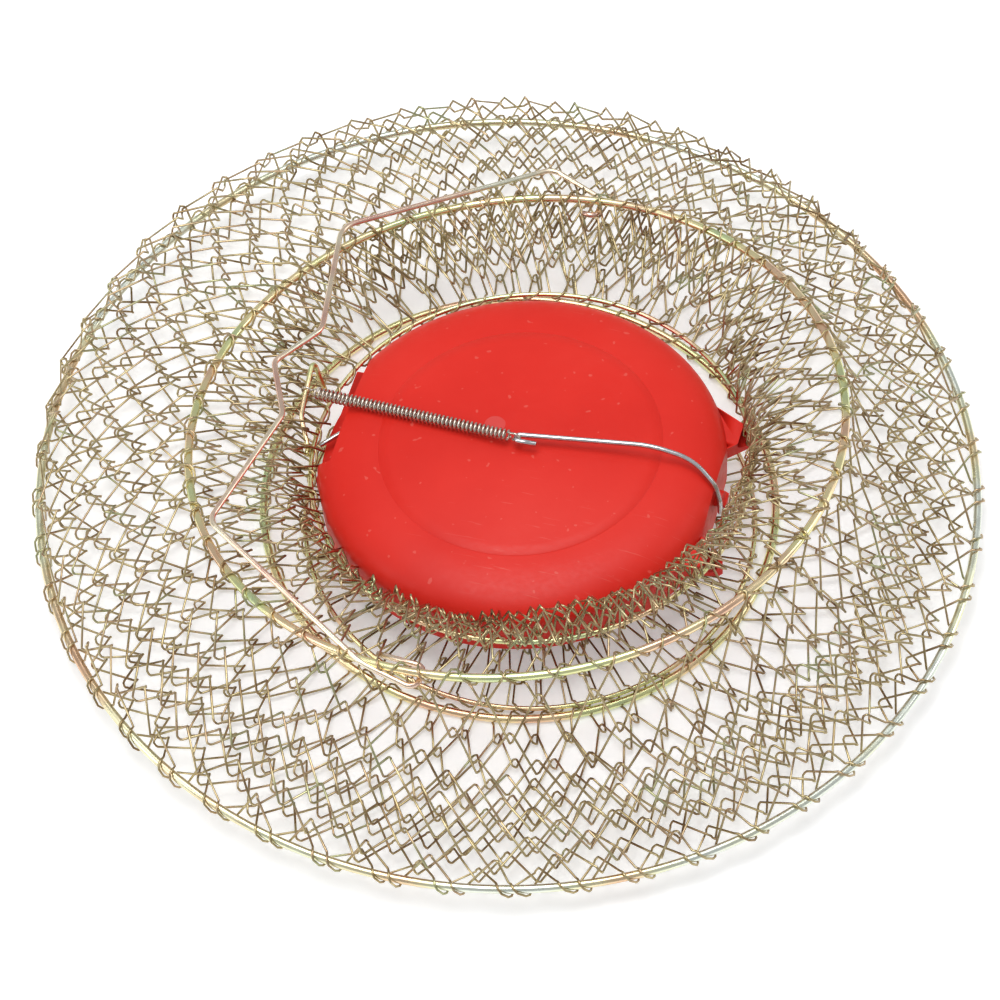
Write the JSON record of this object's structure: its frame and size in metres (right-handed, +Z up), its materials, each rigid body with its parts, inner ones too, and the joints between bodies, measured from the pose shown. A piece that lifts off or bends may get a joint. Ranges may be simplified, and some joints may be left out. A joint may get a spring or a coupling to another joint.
{
  "type": "floating fish basket",
  "caption": "Collapsible floating wire fish basket, folded flat, with a hollow sprung lid hinged in its mouth and a folding wire handle.",
  "frame": {"origin": "on the ground under the middle of the wide middle ring", "axes": "+Z up, -Y to the front as pictured, +X to the right where the lid's hinge lies"},
  "size_m": [0.4589, 0.4587, 0.0997],
  "materials": {
    "gold_wire": "yellow zinc plated steel wire",
    "net_wire": "yellow zinc plated thin steel wire",
    "bright_steel": "bright steel wire",
    "red_plastic": "moulded red plastic, slightly scratched"
  },
  "bodies": {
    "base": {"bottom_ring": "gold_wire", "floor_ring": "gold_wire", "floor_net_row_1": "net_wire"},
    "waist": {"middle_ring": "gold_wire", "lower_net_row_1": "net_wire", "lower_net_row_2": "net_wire"},
    "mouth": {"mouth_ring": "gold_wire", "upper_net_row_1": "net_wire", "upper_net_row_2": "net_wire", "upper_net_row_3": "net_wire"},
    "collar": {"lid_ring": "gold_wire", "spring_anchor": "gold_wire", "throat_net_row_1": "net_wire", "throat_net_row_2": "net_wire", "lid_spring": "bright_steel"},
    "lid": {"lid_shell": "red_plastic", "lid_base": "red_plastic", "lever_wire": "bright_steel"},
    "bail": {"handle": "gold_wire"}
  },
  "joints": [
    {"name": "middle_ring_rise", "type": "slide", "parent": "base", "child": "waist", "axis": [0, 0, 1], "range_m": [0, 0.13], "deforming": ["lower_net_row_1", "lower_net_row_2"]},
    {"name": "mouth_ring_rise", "type": "slide", "parent": "waist", "child": "mouth", "axis": [0, 0, 1], "range_m": [0, 0.104], "deforming": ["upper_net_row_1", "upper_net_row_2", "upper_net_row_3"]},
    {"name": "lid_ring_rise", "type": "slide", "parent": "mouth", "child": "collar", "axis": [0, 0, 1], "range_m": [0, 0.01], "deforming": ["throat_net_row_1", "throat_net_row_2"]},
    {"name": "lid_swing", "type": "hinge", "parent": "collar", "child": "lid", "pos_m": [0.10332, -0.03779, 0.04816], "axis": [-0.2669, -0.9633, 0.0305], "range_deg": [0, 45], "stiffness_Nm_per_rad": 0.3, "springref_deg": -60.16, "deforming": ["lid_spring", "floor_ring", "floor_net_row_1"]},
    {"name": "handle_swing", "type": "hinge", "parent": "mouth", "child": "bail", "pos_m": [0.00348, -0.01052, 0.06612], "axis": [0.2793, 0.955, -0.0998], "range_deg": [0, 150]}
  ],
  "couplings": [
    {"joint": "mouth_ring_rise", "follows": "middle_ring_rise", "ratio": 0.8}
  ]
}
